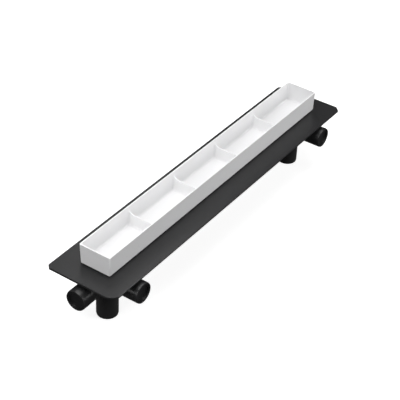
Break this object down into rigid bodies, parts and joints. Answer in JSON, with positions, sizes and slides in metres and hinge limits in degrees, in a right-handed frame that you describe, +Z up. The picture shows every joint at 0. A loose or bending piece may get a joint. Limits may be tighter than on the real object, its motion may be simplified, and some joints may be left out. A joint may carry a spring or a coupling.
{
  "type": "channel drain",
  "caption": "Long black moulded channel drain with a flat sealing flange, pipe outlets at both ends and a white compartmented tray over its mouth.",
  "frame": {"origin": "middle of the channel's mouth, level with the flange's top face", "axes": "+X along the channel, +Z up out of the mouth, and the side outlets point to -Y"},
  "size_m": [0.963, 0.189, 0.198],
  "materials": {
    "black_plastic": "satin",
    "white_plastic": "satin",
    "trap_plastic": "satin",
    "seal_rubber": "matt"
  },
  "bodies": {
    "root": {"channel_body": "black_plastic", "installation_tray": "white_plastic", "near_end_plug": "black_plastic", "near_side_plug": "black_plastic", "near_bottom_plug": "black_plastic", "far_end_plug": "black_plastic", "far_side_plug": "black_plastic", "far_bottom_plug": "black_plastic", "trap_funnels": "trap_plastic", "trap_seals": "seal_rubber", "trap_cups": "trap_plastic", "hair_strainers": "trap_plastic"}
  },
  "joints": []
}
